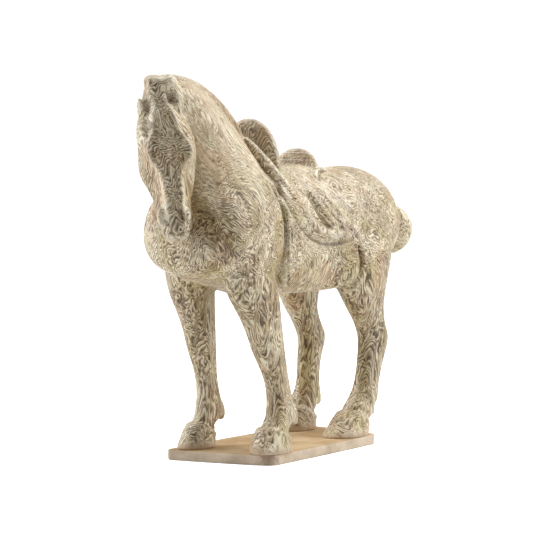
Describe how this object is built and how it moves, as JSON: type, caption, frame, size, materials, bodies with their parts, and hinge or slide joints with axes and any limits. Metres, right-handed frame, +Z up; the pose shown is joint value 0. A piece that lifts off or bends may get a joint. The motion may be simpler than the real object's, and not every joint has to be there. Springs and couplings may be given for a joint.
{
  "type": "pottery horse figure",
  "caption": "Marbled pottery horse standing on a thin plain clay slab, head turned and tucked in, with clipped mane, arched saddle, gathered saddle cover and short bound tail.",
  "frame": {"origin": "centre of the bounding box, on the slab's underside", "axes": "+Z up, the horse faces -Y, its left side is +X"},
  "size_m": [0.123, 0.4504, 0.3929],
  "materials": {
    "marbled_clay": "cream and grey-brown marbled earthenware under a thin clear satin glaze, green-yellow where it pools",
    "plain_clay": "unglazed buff fired clay, dusty and slightly stained"
  },
  "bodies": {
    "root": {"horse": "marbled_clay", "base_slab": "plain_clay"}
  },
  "joints": []
}
